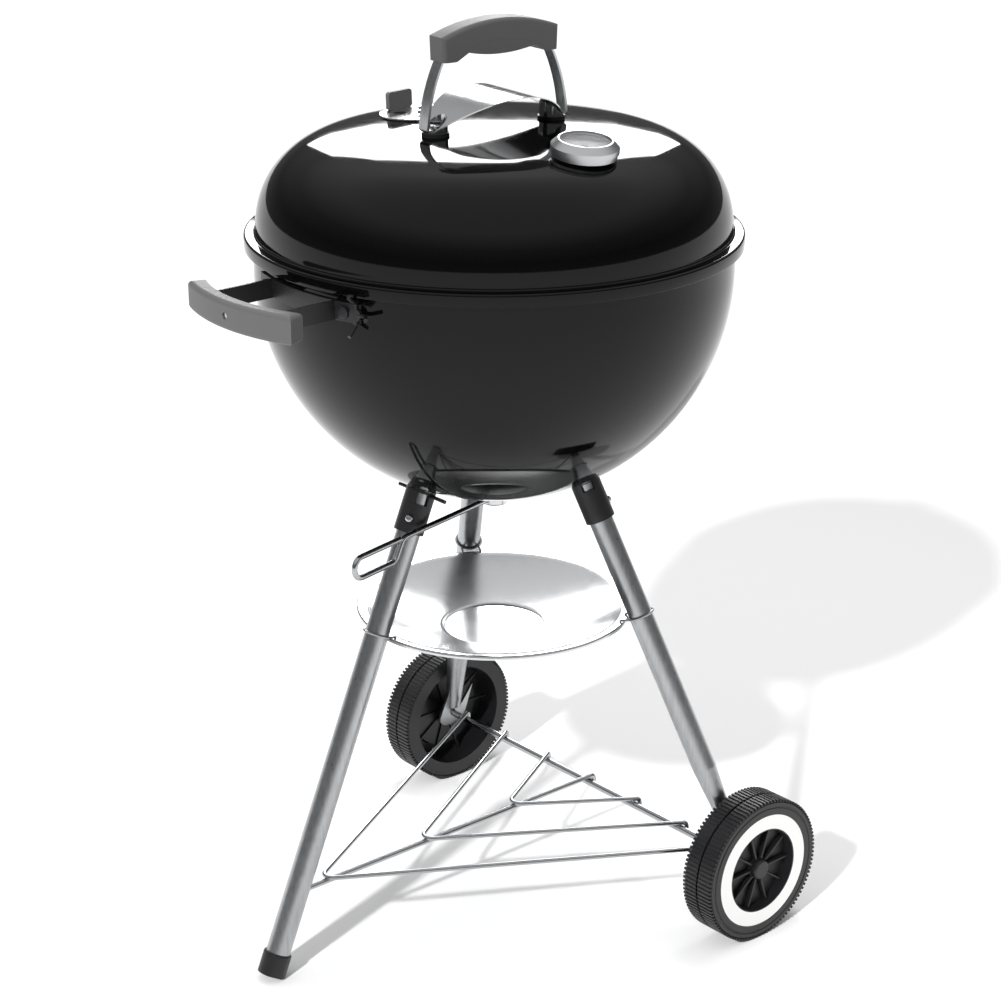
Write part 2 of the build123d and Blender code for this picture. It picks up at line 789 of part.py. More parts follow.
# ---------------------------------------------------------------- ash sweep
def make_bush():
    """A flanged bush up through the bowl, its flange cut to the round of the bowl."""
    low = bowl_bottom - bush_flange
    flange = cylinder_on(Plane.XY, bush_flange_radius, low, 4 * bush_flange)
    flange -= Pos(0, 0, bowl_middle) * Sphere(bowl_radius)
    body = cylinder_on(Plane.XY, bush_radius, low, bush_flange + bowl_sheet)
    return flange + body - cylinder_on(Plane.XY, shaft_diameter / 2 + shaft_clearance, low - 1, 20)


def lever_line(distance, height):
    a = radians(-90 + lever_turn)
    return (distance * cos(a), distance * sin(a), height)


def lever_height():
    return bowl_bottom - sweep_hub_drop + sweep_hub_height / 2


def make_sweep_lever():
    z = lever_height()
    low = z - lever_crank_drop
    points = [
        lever_line(shaft_diameter / 2, z), lever_line(lever_crank - 8, z), lever_line(lever_crank + 6, low),
        lever_line(lever_reach, low), lever_line(lever_reach, z), lever_line(lever_return, z),
    ]
    bend = lever_crank_drop / 2 - 0.05
    straight = wire_rod(points, lever_wire, [9, 9, bend, bend])
    return straight


def make_sweep_hub():
    low = bowl_bottom - sweep_hub_drop
    hub = cylinder_on(Plane.XY, sweep_hub_radius, low, sweep_hub_height)
    hub = fillet(hub.edges().filter_by(GeomType.CIRCLE), 1.5)
    top = bowl_bottom + bowl_sheet + blade_gap + blade_sheet + 6
    shaft = cylinder_on(Plane.XY, shaft_diameter / 2, low + 1, top - low - 1)
    clip = Pos(0, 0, top - 4) * Cylinder(shaft_diameter / 2 + 3, 1.5)
    return hub + shaft + clip - make_sweep_lever()


def make_sweep_blades():
    outer = bowl_inner - blade_gap
    shell = Sphere(outer) - Sphere(outer - blade_sheet)
    shell = Pos(0, 0, bowl_middle) * shell
    low, high = bowl_bottom - 5, bowl_bottom + 60
    cut = Pos(0, 0, low) * Cylinder(18, high - low, align=(Align.CENTER, Align.CENTER, Align.MIN))
    for n in range(3):
        cut += vent_wedge(vent_first - vent_to_blade + 120 * n, 5, blade_reach, blade_angle, low, high)
    blades = shell & cut
    return blades - Pos(0, 0, bowl_bottom) * Cylinder(shaft_diameter / 2, 60)


# ---------------------------------------------------------------- side handle
def arc_across(half, reach, sweep):
    """An arc across the handle, its middle at reach and its ends sweep nearer the kettle."""
    return ThreePointArc((-half, sweep - reach), (0, -reach), (half, sweep - reach))


def strap_parts(extra):
    """The two arms and the front bar of the bracket, thicker all round by extra."""
    h, t = bracket_height + 2 * extra, bracket_sheet + 2 * extra
    start = sqrt(bowl_radius**2 - bracket_arm**2)
    middle = (start + bracket_reach) / 2
    length = bracket_reach - start + 2 * extra
    parts = [Pos(x, -middle, 0) * Box(t, length, h) for x in (-bracket_arm, bracket_arm)]
    parts.append(Pos(0, bracket_sheet / 2 - bracket_reach, 0) * Box(2 * bracket_arm + t, t, h))
    return Pos(0, 0, handle_height) * joined(parts)


def grip_screw(start, seat):
    """A stepped pin out through the middle of the bracket's front bar."""
    plane = Plane(origin=(0, -bracket_reach, handle_height), z_dir=(0, -1, 0))
    shank = cylinder_on(plane, grip_screw_diameter / 2, start, seat - start)
    return shank + cylinder_on(plane, grip_screw_head, seat, grip_screw_sink)


def make_side_bracket():
    """A flat steel strap: a back that hugs the bowl, two arms and a front bar."""
    h, t = bracket_height, bracket_sheet
    ring = Cylinder(bowl_radius + t, h) - Cylinder(bowl_radius, h + 2)
    back = ring & Pos(0, -bowl_radius, 0) * Box(2 * bracket_ear, 200, h)
    strap = Pos(0, 0, handle_height) * back + strap_parts(0)
    strap -= Pos(0, 0, handle_height) * Cylinder(bowl_radius, 3 * h)
    for place in (-bolt_place, bolt_place):
        strap -= cylinder_on(bolt_plane(place), bolt_diameter / 2, -10, 20)
    return strap - grip_screw(-20, 1)


def make_side_grip():
    """A crescent grip moulded over the bracket's front bar."""
    front = arc_across(side_grip_half, side_grip_reach, side_grip_sweep)
    back = arc_across(side_grip_back_half, side_grip_back, side_grip_back_sweep)
    face = make_face([front, Line(front @ 1, back @ 1), back, Line(back @ 0, front @ 0)])
    grip = Pos(0, 0, handle_height) * extrude(face, amount=side_grip_height / 2, both=True)
    ends = grip.faces().sort_by(Axis.Z)
    grip = fillet(ends[0].edges() + ends[-1].edges(), side_grip_round)
    seat = side_grip_reach - bracket_reach - grip_screw_sink
    return grip - strap_parts(grip_fit) - grip_screw(-20, seat)


def make_grip_screw():
    seat = side_grip_reach - bracket_reach - grip_screw_sink
    screw = grip_screw(-bracket_sheet - 1.5, seat)
    front = Plane(origin=(0, -side_grip_reach, handle_height), z_dir=(0, -1, 0))
    return screw - cylinder_on(front, 20, -grip_screw_recess, 20)


def make_bracket_bolts():
    bolts = []
    inside = bowl_sheet + nut_height + 2
    for place in (-bolt_place, bolt_place):
        plane = bolt_plane(place)
        head = cylinder_on(plane, bolt_head_radius, bracket_sheet, bolt_head_height)
        head = fillet(head.edges().filter_by(GeomType.CIRCLE).sort_by(Axis.Y)[0], 1.2)
        bolts += (cylinder_on(plane, bolt_diameter / 2, -inside, inside + bracket_sheet) + head).solids()
    return Compound(children=bolts)


def hex_nut(plane, across, start, height, hole):
    hexagon = RegularPolygon(across / 2, 6, major_radius=False)
    nut = plane * Pos(0, 0, start) * extrude(hexagon, amount=height)
    return nut - cylinder_on(plane, hole, start - 1, height + 2)


def make_bracket_nuts():
    nuts = []
    start = -bowl_sheet - nut_gap - nut_height
    for place in (-bolt_place, bolt_place):
        nuts += hex_nut(bolt_plane(place), nut_across, start, nut_height, bolt_diameter / 2).solids()
    return Compound(children=nuts)


def make_tool_hook():
    """A disc with three bent prongs at the right end of the bracket, for tools."""
    place = bracket_ear - 3
    out = Vector(place, -sqrt(bowl_radius**2 - place**2), 0).normalized()
    along = Vector(-out.Y, out.X, 0)
    foot = out * (bowl_radius + bracket_sheet) + Vector(0, 0, handle_height)
    hook = cylinder_on(Plane(origin=foot, x_dir=along, z_dir=out), hook_disc_radius, -1, hook_wire + 1)
    hook -= Pos(0, 0, handle_height) * Cylinder(bowl_radius + bracket_sheet, 4 * hook_disc_radius)
    for way in (Vector(0, 0, 1), along, Vector(0, 0, -1)):
        start = foot + out * (hook_wire / 2 + 0.3) + way * 3
        knee = start + way * hook_reach
        hook += wire_rod([start, knee, knee + out * hook_turn_up + way * hook_tip], hook_wire, hook_wire)
    return hook


# ---------------------------------------------------------------- lid
def make_lid_shell():
    outer = lid_arcs(0)
    inner = lid_arcs(lid_sheet)
    z, t = rim_height, lid_sheet
    w, f, c = lid_wall_radius, flange_reach, flange_corner
    bend = cos(pi / 4)
    low = z - skirt_depth
    top_out = outer[0] @ 0
    top_in = inner[0] @ 0
    corner = ThreePointArc((f - c, 0, z), (f - c + c * bend, 0, z - c + c * bend), (f, 0, z - c))
    shell = spun(
        *outer,
        Line(outer[2] @ 1, (w, 0, z)),
        Line((w, 0, z), (f - c, 0, z)),
        corner,
        Polyline((f, 0, z - c), (f, 0, low), (f - t, 0, low), (f - t, 0, z - t), (w - t, 0, z - t)),
        Line((w - t, 0, z - t), inner[2] @ 1),
        *inner,
        Line(top_in, top_out),
    )
    for spot in damper_hole_spots():
        shell -= damper_plane() * spot * Cylinder(damper_hole_radius, 20)
    shell -= cylinder_on(damper_plane(), rivet_diameter / 2, -10, 20)
    shell -= cylinder_on(lid_plane(thermo_radius, thermo_azimuth), thermo_stem_diameter / 2 + 0.2, -10, 20)
    for side in (-1, 1):
        shell -= cylinder_on(handle_plane(side), handle_bolt_diameter / 2, -10, 20)
    return shell


def handle_seat():
    return lid_surface(handle_bolt_place)[0]


def handle_plane(side):
    """Upright at a handle bolt, from the lid's outside there."""
    a = radians(90 * side + lid_turn)
    return Plane(origin=(handle_bolt_place * cos(a), handle_bolt_place * sin(a), handle_seat()))


def turned(shape):
    return Rot(0, 0, lid_turn) * shape


def upright(edges):
    """A YZ outline drawn as (along Y, up Z), as edges on the lid's middle plane."""
    return Plane.YZ * make_face(edges)


def make_handle_bow():
    """One steel strip: foot tabs, two curved uprights and a bar inside the grip."""
    foot = handle_seat() + spacer_height + shield_sheet
    top = lid_grip_top - bow_bar_drop
    t, corner = bow_sheet, 2.5

    def upright_arc(inward):
        middle = foot + (top - foot) * 0.38
        return ThreePointArc(
            (bow_foot - inward, foot + corner), (bow_bulge - inward, middle), (bow_top - inward, top - 8)
        )

    outer, inner = upright_arc(0), upright_arc(t)
    tab = bow_foot - bow_tab
    half = [
        Polyline((tab, foot), (bow_foot - corner, foot), outer @ 0),
        outer,
        Polyline(outer @ 1, (bow_top - 4, top), (0, top), (0, top - t), (bow_top - 5, top - t), inner @ 1),
        inner,
        Polyline(inner @ 0, (bow_foot - t - 0.5, foot + t), (tab, foot + t), (tab, foot)),
    ]
    strip = extrude(upright(half), amount=bow_width / 2, both=True)
    bow = turned(strip + mirror(strip, about=Plane.XZ)) - make_insert_screws()
    for side in (-1, 1):
        bow -= cylinder_on(handle_plane(side), handle_bolt_diameter / 2, -10, 40)
    return bow


def grip_side_outline():
    """Side outline of the whole lid grip."""
    end, shoulder = lid_grip_half, lid_grip_top - lid_grip_end_drop
    foot, waist = lid_grip_foot, lid_grip_relief
    top = ThreePointArc((-end, shoulder), (0, lid_grip_top), (end, shoulder))
    under = lid_grip_under
    right = Polyline((end, shoulder), (end - 1, under), (foot, under), (waist, lid_grip_waist))
    belly = ThreePointArc((waist, lid_grip_waist), (0, lid_grip_belly), (-waist, lid_grip_waist))
    left = Polyline((-waist, lid_grip_waist), (-foot, under), (1 - end, under), (-end, shoulder))
    return [top, right, belly, left]


def whole_lid_grip():
    body = extrude(upright(grip_side_outline()), amount=lid_grip_width / 2, both=True)
    sides = body.faces().sort_by(Axis.X)
    edges = [edge for edge in sides[0].edges() + sides[-1].edges() if edge.center().Z > lid_grip_waist + 2]
    return fillet(edges, lid_grip_round)


def insert_region(extra):
    """The underside of the grip, below an arched parting line."""
    half, level = insert_half + extra, lid_grip_under - 2
    arch = ThreePointArc((-half, level), (0, insert_crest + extra), (half, level))
    low = Polyline((half, level), (half, level - 10), (-half, level - 10), (-half, level))
    return extrude(upright([arch, low]), amount=lid_grip_width, both=True)


def make_insert_screws():
    """Screws up through the insert and the bow's bar into the grip."""
    screws = []
    start = lid_grip_waist + 1
    for y in (-insert_screw_place, insert_screw_place):
        plane = Plane(origin=(0, y, start))
        screw = cylinder_on(plane, 3.5, 0, 3) + cylinder_on(plane, 1.8, 0, lid_grip_top - 8 - start)
        screws += screw.solids()
    return turned(Compound(children=screws))


def make_lid_grip():
    return turned(whole_lid_grip() - insert_region(0)) - make_handle_bow() - make_insert_screws()


def make_grip_insert():
    return turned(whole_lid_grip() & insert_region(-0.1)) - make_handle_bow() - make_insert_screws()


def make_heat_shield():
    """A leaf-shaped plate arched over the lid, with a cup for each handle bolt."""
    base = handle_seat() + spacer_height
    end, t = shield_half_length, shield_sheet
    radius = (end**2 + shield_rise**2) / (2 * shield_rise)
    axis = Pos(0, 0, base + shield_rise - radius) * Rot(0, 90, 0)
    side = ThreePointArc((shield_tip, -end), (shield_half_width, 0), (shield_tip, end))
    other = ThreePointArc((-shield_tip, end), (-shield_half_width, 0), (-shield_tip, -end))
    leaf = make_face([side, Line(side @ 1, other @ 0), other, Line(other @ 1, side @ 0)])
    above = Pos(0, 0, base) * extrude(leaf, amount=120)
    plate = above & (axis * Cylinder(radius + t, 200)) - axis * Cylinder(radius, 202)
    for way in (-1, 1):
        bolt = Plane(origin=(0, way * handle_bolt_place, base))
        cup = cylinder_on(bolt, shield_cup, 0, 40) & axis * Cylinder(radius + t, 200)
        plate = plate + cup - cylinder_on(bolt, shield_cup - t, 0, 40) + cylinder_on(bolt, shield_cup, 0, t)
        plate -= Pos(0, way * bow_foot, base + t + 10) * Box(bow_width + 1, 20, 20)
    plate = turned(plate)
    for way in (-1, 1):
        plate -= cylinder_on(handle_plane(way), handle_bolt_diameter / 2, -10, 40)
    return plate


def make_handle_spacers():
    spacers = []
    dome = lid_dome_solid()
    for side in (-1, 1):
        spacer = cylinder_on(handle_plane(side), spacer_radius, -6, spacer_height + 6) - dome
        spacer -= cylinder_on(handle_plane(side), handle_bolt_diameter / 2, -10, 40)
        spacers += spacer.solids()
    return Compound(children=spacers)


def lid_dome_solid():
    """Everything under the lid's outside, to trim what sits on it."""
    outer = lid_arcs(0)
    base = Polyline(outer[2] @ 1, (lid_wall_radius, 0, rim_height), (0, 0, rim_height), outer[0] @ 0)
    return spun(*outer, base)


def make_handle_bolts():
    bolts = []
    for side in (-1, 1):
        plane = handle_plane(side)
        seat = spacer_height + bow_sheet + shield_sheet
        head = cylinder_on(plane, handle_bolt_head, seat, 3.2)
        head = fillet(head.edges().sort_by(Axis.Z)[-1], 1.2)
        inside = lid_sheet + nut_height + 2
        shank = cylinder_on(plane, handle_bolt_diameter / 2, -inside, seat + inside)
        bolts += (shank + head).solids()
    return Compound(children=bolts)


def make_handle_nuts():
    nuts = []
    start = -lid_sheet - 2 * nut_gap - nut_height
    for side in (-1, 1):
        nuts += hex_nut(handle_plane(side), nut_across, start, nut_height, handle_bolt_diameter / 2).solids()
    return Compound(children=nuts)


# ---------------------------------------------------------------- thermometer
def thermo_plane():
    return lid_plane(thermo_radius, thermo_azimuth)


def make_thermometer_case():
    """A cup for the dial, with its stem down through the lid."""
    r, h = thermo_body_radius, thermo_body_height
    low = 1.6
    cup = cylinder_on(Plane.XY, r, low, h) - cylinder_on(Plane.XY, r - 1.5, low + 1.5, h)
    foot = thermo_plane() * cylinder_on(Plane.XY, 9, -1, low + 1) - lid_dome_solid()
    stem = cylinder_on(Plane.XY, thermo_stem_diameter / 2, -thermo_stem_length, thermo_stem_length + low)
    return thermo_plane() * (cup + stem) + foot


def make_thermometer_bezel():
    low = 1.6 + thermo_body_height - 4
    r, top = thermo_bezel_radius, thermo_bezel_height
    opening = thermo_bezel_top - 1.6
    sides = [
        (thermo_body_radius, low), (r, low), (r, low + 5), (thermo_bezel_top, top),
        (opening, top), (opening, low + 7.5), (thermo_body_radius, low + 4),
    ]
    return thermo_plane() * disc_shape(sides)


def dial_height():
    return 1.6 + thermo_body_height - 1.5


def make_thermometer_dial():
    low = dial_height() - 1.0
    disc = cylinder_on(Plane.XY, thermo_body_radius - 1.5, low, 1.0)
    return thermo_plane() * (disc - cylinder_on(Plane.XY, needle_pin_diameter / 2 + 0.05, low - 1, 3))


def make_thermometer_lens():
    start = thermo_bezel_height - 1.0 - thermo_lens_sheet
    return cylinder_on(thermo_plane(), thermo_bezel_top - 1.6, start, thermo_lens_sheet)


def make_thermometer_needle():
    z = dial_height() + 0.8
    blade = Pos(needle_length / 2 - 2, 0, z + needle_sheet / 2) * Box(needle_length, 1.8, needle_sheet)
    hub = cylinder_on(Plane.XY, 3, z, 1.6)
    pin = cylinder_on(Plane.XY, needle_pin_diameter / 2, dial_height() - 3, 4)
    needle = Rot(0, 0, -20) * (blade + hub + pin)
    return thermo_plane() * needle


def make_thermometer_nut():
    return hex_nut(thermo_plane(), 12, -lid_sheet - 0.1 - 5, 5, thermo_stem_diameter / 2)


# ---------------------------------------------------------------- damper
def damper_plane():
    return lid_plane(damper_place, damper_azimuth)


def damper_hole_spots():
    """Places of the openings, on the damper's plane."""
    turns = [radians(360 / damper_holes * n + 45) for n in range(damper_holes)]
    return [Pos(damper_hole_place * cos(a), damper_hole_place * sin(a), 0) for a in turns]


def make_damper_disc():
    disc = cylinder_on(Plane.XY, damper_radius, damper_lift, damper_sheet)
    for spot in damper_hole_spots():
        disc -= spot * Cylinder(damper_hole_radius, 20)
    disc -= cylinder_on(Plane.XY, rivet_diameter / 2 + rivet_clearance, -5, 10)
    lug = Pos(tab_place, 0, damper_lift + damper_sheet + 6) * Box(1.5, tab_length - 8, 12)
    return damper_plane() * (disc + lug)


def make_damper_tab():
    low = damper_lift + damper_sheet
    tab = Pos(tab_place, 0, low + tab_rise / 2) * Box(tab_thick, tab_length, tab_rise)
    tab = fillet(tab.edges().filter_by(Axis.X), 3.5)
    tab -= Pos(tab_place, 0, low + 6) * Box(1.5, tab_length - 8, 12)
    return damper_plane() * tab


def make_damper_rivet():
    plane = damper_plane()
    low = -lid_sheet - 2
    shank = cylinder_on(plane, rivet_diameter / 2, low, -low + damper_lift + damper_sheet + 0.2)
    head = cylinder_on(plane, 6, damper_lift + damper_sheet + 0.2, 2)
    tail = cylinder_on(plane, 5, low - 1, 2.6)
    return shank + head + tail


# ---------------------------------------------------------------- snap buttons
def make_snap_button(name):
    """A domed pin that pops out through the leg and the sleeve, with a collar inside."""
    start = stub_radius - stub_wall - button_collar_inset
    pin = cylinder_on(Plane.XY, button_diameter / 2, start, sleeve_radius + button_proud - start)
    pin = fillet(pin.edges().sort_by(Axis.Z)[-1], 2.2)
    return button_plane(*LEGS[name]) * (pin + cylinder_on(Plane.XY, button_diameter / 2 + 1.5, start, 2))


def make_button_springs():
    """A folded leaf behind each button, its back against the far wall of the stub."""
    bore = stub_radius - stub_wall
    far = leaf_sheet / 2 - sqrt(bore**2 - (leaf_width / 2) ** 2)
    near = bore - button_collar_inset - button_travel - leaf_gap
    fold = (-22, 0, (near + far) / 2)
    path = Polyline((12, 0, near), (-14, 0, near - 1), fold, (-14, 0, far), (12, 0, far))
    strip = Plane(origin=path @ 0, x_dir=(0, 1, 0), z_dir=path % 0) * Rectangle(leaf_width, leaf_sheet)
    leaf = sweep(strip, path=path, transition=Transition.RIGHT)
    return Compound(children=[button_plane(*leg) * leaf for leg in LEGS.values()])


# ---------------------------------------------------------------- build
save("bowl", make_bowl())
save("grate_tabs", make_grate_tabs())
save("charcoal_grate", make_charcoal_grate())
save("cooking_grate", make_cooking_grate())
save("leg_sockets", Compound(children=[s for n in LEGS for s in make_socket(n).solids()]))
for leg_name in LEGS:
    save(f"sleeve_{leg_name}", make_sleeve(leg_name))
    save(f"snap_button_{leg_name}", make_snap_button(leg_name))
save("leg_front", make_front_leg())
save("leg_right", make_rear_leg("right"))
save("leg_left", make_rear_leg("left"))
save("foot_cap", make_foot_cap())
save("axle_plates", make_axle_plates())
save("axle", axle_rod(0.0))
save("axle_caps", make_axle_caps())
for side_name, side_sign in (("right", 1), ("left", -1)):
    save(f"wheel_{side_name}", make_wheel(side_sign))
    save(f"wheel_trim_{side_name}", make_trim(side_sign))
save("rack_spine", make_spine())
for wire_name in rack_wires:
    save(f"rack_wire_{wire_name}", make_rack_wire(wire_name))
save("ash_dish", make_ash_dish())
save("dish_clips", make_dish_clips())
save("shaft_bush", make_bush())
save("sweep_lever", make_sweep_lever())
save("sweep_hub", make_sweep_hub())
save("sweep_blades", make_sweep_blades())
save("side_bracket", make_side_bracket())
save("side_grip", make_side_grip())
save("bracket_bolts", make_bracket_bolts())
save("bracket_nuts", make_bracket_nuts())
save("grip_screw", make_grip_screw())
save("tool_hook", make_tool_hook())
save("stop_rod", stop_rod_hole(0))
save("button_springs", make_button_springs())
save("lid_shell", make_lid_shell())
save("handle_bow", make_handle_bow())
save("lid_grip", make_lid_grip())
save("lid_grip_insert", make_grip_insert())
save("insert_screws", make_insert_screws())
save("heat_shield", make_heat_shield())
save("handle_spacers", make_handle_spacers())
save("handle_bolts", make_handle_bolts())
save("handle_nuts", make_handle_nuts())
save("thermometer_case", make_thermometer_case())
save("thermometer_bezel", make_thermometer_bezel())
save("thermometer_dial", make_thermometer_dial())
save("thermometer_lens", make_thermometer_lens())
save("thermometer_needle", make_thermometer_needle())
save("thermometer_nut", make_thermometer_nut())
save("damper_disc", make_damper_disc())
save("damper_tab", make_damper_tab())
save("damper_rivet", make_damper_rivet())
print(len(SAVED), "nodes")
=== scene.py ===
# %% [markdown]
# # A kettle charcoal grill
# The grill's true shapes and sizes come from its CAD model, which is loaded first and never moved. This
# script gives it its looks: the smooth enamel, the wheels' tread, the grips and the brushed and bright metals.

# %% Load the CAD model
import json
import math

import bmesh
import bpy
from mathutils import Matrix, Vector


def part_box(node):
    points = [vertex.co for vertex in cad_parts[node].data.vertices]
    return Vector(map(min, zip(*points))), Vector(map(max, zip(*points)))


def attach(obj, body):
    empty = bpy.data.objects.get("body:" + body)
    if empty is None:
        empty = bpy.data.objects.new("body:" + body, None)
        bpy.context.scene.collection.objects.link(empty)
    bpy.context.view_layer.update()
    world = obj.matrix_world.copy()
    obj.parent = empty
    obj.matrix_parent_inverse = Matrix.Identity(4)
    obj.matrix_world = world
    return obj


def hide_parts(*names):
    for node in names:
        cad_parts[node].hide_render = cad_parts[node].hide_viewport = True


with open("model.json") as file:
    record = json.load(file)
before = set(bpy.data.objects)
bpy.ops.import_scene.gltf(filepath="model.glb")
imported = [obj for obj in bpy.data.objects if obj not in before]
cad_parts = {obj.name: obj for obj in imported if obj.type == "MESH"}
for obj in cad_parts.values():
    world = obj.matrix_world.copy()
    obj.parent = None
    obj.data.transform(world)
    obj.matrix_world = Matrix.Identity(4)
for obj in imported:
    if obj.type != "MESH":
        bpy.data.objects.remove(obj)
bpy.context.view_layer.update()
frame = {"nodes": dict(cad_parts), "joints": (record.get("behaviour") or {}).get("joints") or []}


lid_low, lid_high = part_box("lid_shell")
KETTLE = Vector(((lid_low.x + lid_high.x) / 2, (lid_low.y + lid_high.y) / 2, 0))
print(len(frame["nodes"]), "CAD nodes; kettle centre", tuple(round(v, 4) for v in KETTLE))

# %% [markdown]
# ## Finishes
# Each finish is one Principled shader with a little procedural noise in Object coordinates, because no real
# surface is the same all over. Enamel is glass-smooth with a faint orange peel. Drawn tube has fine streaks
# along it. Moulded plastic has a fine grain that breaks up the highlight.

# %% A helper for a finish
def finish(name, colour, metallic=0.0, roughness=0.5, specular=0.5):
    mat = bpy.data.materials.new(name)
    mat.use_nodes = True
    shader = mat.node_tree.nodes["Principled BSDF"]
    shader.inputs["Base Color"].default_value = (*colour, 1)
    shader.inputs["Metallic"].default_value = metallic
    shader.inputs["Roughness"].default_value = roughness
    shader.inputs["Specular IOR Level"].default_value = specular
    return mat


def grain(mat, scale, stretch=(1, 1, 1), rough=None, tint=None, bump=0.0, depth=0.0002, detail=3.0):
    """Noise in Object coordinates that varies roughness and colour and raises a fine bump."""
    nodes, links = mat.node_tree.nodes, mat.node_tree.links
    shader = nodes["Principled BSDF"]
    place = nodes.new("ShaderNodeTexCoord")
    mapping = nodes.new("ShaderNodeMapping")
    mapping.inputs["Scale"].default_value = stretch
    noise = nodes.new("ShaderNodeTexNoise")
    noise.inputs["Scale"].default_value = scale
    noise.inputs["Detail"].default_value = detail
    links.new(place.outputs["Object"], mapping.inputs["Vector"])
    links.new(mapping.outputs["Vector"], noise.inputs["Vector"])
    if rough:
        spread = nodes.new("ShaderNodeMapRange")
        spread.inputs["To Min"].default_value, spread.inputs["To Max"].default_value = rough
        links.new(noise.outputs["Fac"], spread.inputs["Value"])
        links.new(spread.outputs["Result"], shader.inputs["Roughness"])
    if tint:
        ramp = nodes.new("ShaderNodeValToRGB")
        ramp.color_ramp.elements[0].position, ramp.color_ramp.elements[1].position = 0.3, 0.7
        ramp.color_ramp.elements[0].color = (*tint[0], 1)
        ramp.color_ramp.elements[1].color = (*tint[1], 1)
        links.new(noise.outputs["Fac"], ramp.inputs["Fac"])
        links.new(ramp.outputs["Color"], shader.inputs["Base Color"])
    if bump:
        raised = nodes.new("ShaderNodeBump")
        raised.inputs["Strength"].default_value = bump
        raised.inputs["Distance"].default_value = depth
        links.new(noise.outputs["Fac"], raised.inputs["Height"])
        links.new(raised.outputs["Normal"], shader.inputs["Normal"])
    return mat


# %% The finishes of this grill
enamel = grain(finish("black_enamel", (0.0012, 0.0012, 0.0013), roughness=0.07, specular=0.22),
               60, rough=(0.04, 0.09), bump=0.03, depth=0.0001, detail=1.0)
tube_steel = grain(finish("aluminised_tube", (0.40, 0.41, 0.42), 1.0, 0.3),
                   420, (1, 1, 0.04), rough=(0.24, 0.36), tint=((0.37, 0.38, 0.39), (0.45, 0.46, 0.47)))
bright_wire = grain(finish("plated_wire", (0.42, 0.43, 0.44), 1.0, 0.2), 300, rough=(0.12, 0.22))
grate_wire = grain(finish("grate_wire", (0.58, 0.59, 0.60), 1.0, 0.3), 260, rough=(0.22, 0.42))
spun_sheet = grain(finish("spun_aluminium", (0.62, 0.63, 0.64), 1.0, 0.24), 90, rough=(0.16, 0.26))
strap_steel = grain(finish("stainless_strip", (0.50, 0.51, 0.52), 1.0, 0.3),
                    500, (1, 1, 0.08), rough=(0.22, 0.38), tint=((0.44, 0.45, 0.46), (0.58, 0.59, 0.60)))
mirror_steel = grain(finish("polished_stainless", (0.55, 0.56, 0.57), 1.0, 0.1), 80, rough=(0.07, 0.13))
fastener = grain(finish("plated_fastener", (0.62, 0.63, 0.64), 1.0, 0.26), 400, rough=(0.2, 0.34))
grip_dark = grain(finish("dark_grey_nylon", (0.07, 0.07, 0.072), roughness=0.5, specular=0.35),
                  2200, rough=(0.42, 0.58), tint=((0.063, 0.063, 0.065), (0.078, 0.078, 0.080)), bump=0.15)
grip_light = grain(finish("grey_nylon", (0.10, 0.10, 0.102), roughness=0.5, specular=0.35),
                   2200, rough=(0.42, 0.58), tint=((0.092, 0.092, 0.094), (0.11, 0.11, 0.112)), bump=0.15)
black_plastic = grain(finish("black_polypropylene", (0.008, 0.008, 0.009), roughness=0.42, specular=0.45),
                      1600, rough=(0.34, 0.50), tint=((0.006, 0.006, 0.007), (0.012, 0.012, 0.013)), bump=0.1)
white_ring = grain(finish("white_ring", (0.86, 0.86, 0.85), roughness=0.35), 500, rough=(0.3, 0.42))
bezel_steel = grain(finish("turned_steel", (0.55, 0.56, 0.57), 1.0, 0.3), 300, (1, 1, 6), rough=(0.22, 0.4))
dial_grey = grain(finish("dial_grey", (0.30, 0.30, 0.31), roughness=0.45), 300, rough=(0.4, 0.5))
needle_black = grain(finish("needle_black", (0.01, 0.01, 0.01), roughness=0.4), 300, rough=(0.35, 0.45))
damper_sheet = grain(finish("damper_sheet", (0.80, 0.81, 0.82), 1.0, 0.26), 200, rough=(0.2, 0.32))
window = finish("clear_window", (1, 1, 1), roughness=0.03, specular=0.1)
window.node_tree.nodes["Principled BSDF"].inputs["Transmission Weight"].default_value = 1.0
window.node_tree.nodes["Principled BSDF"].inputs["IOR"].default_value = 1.03

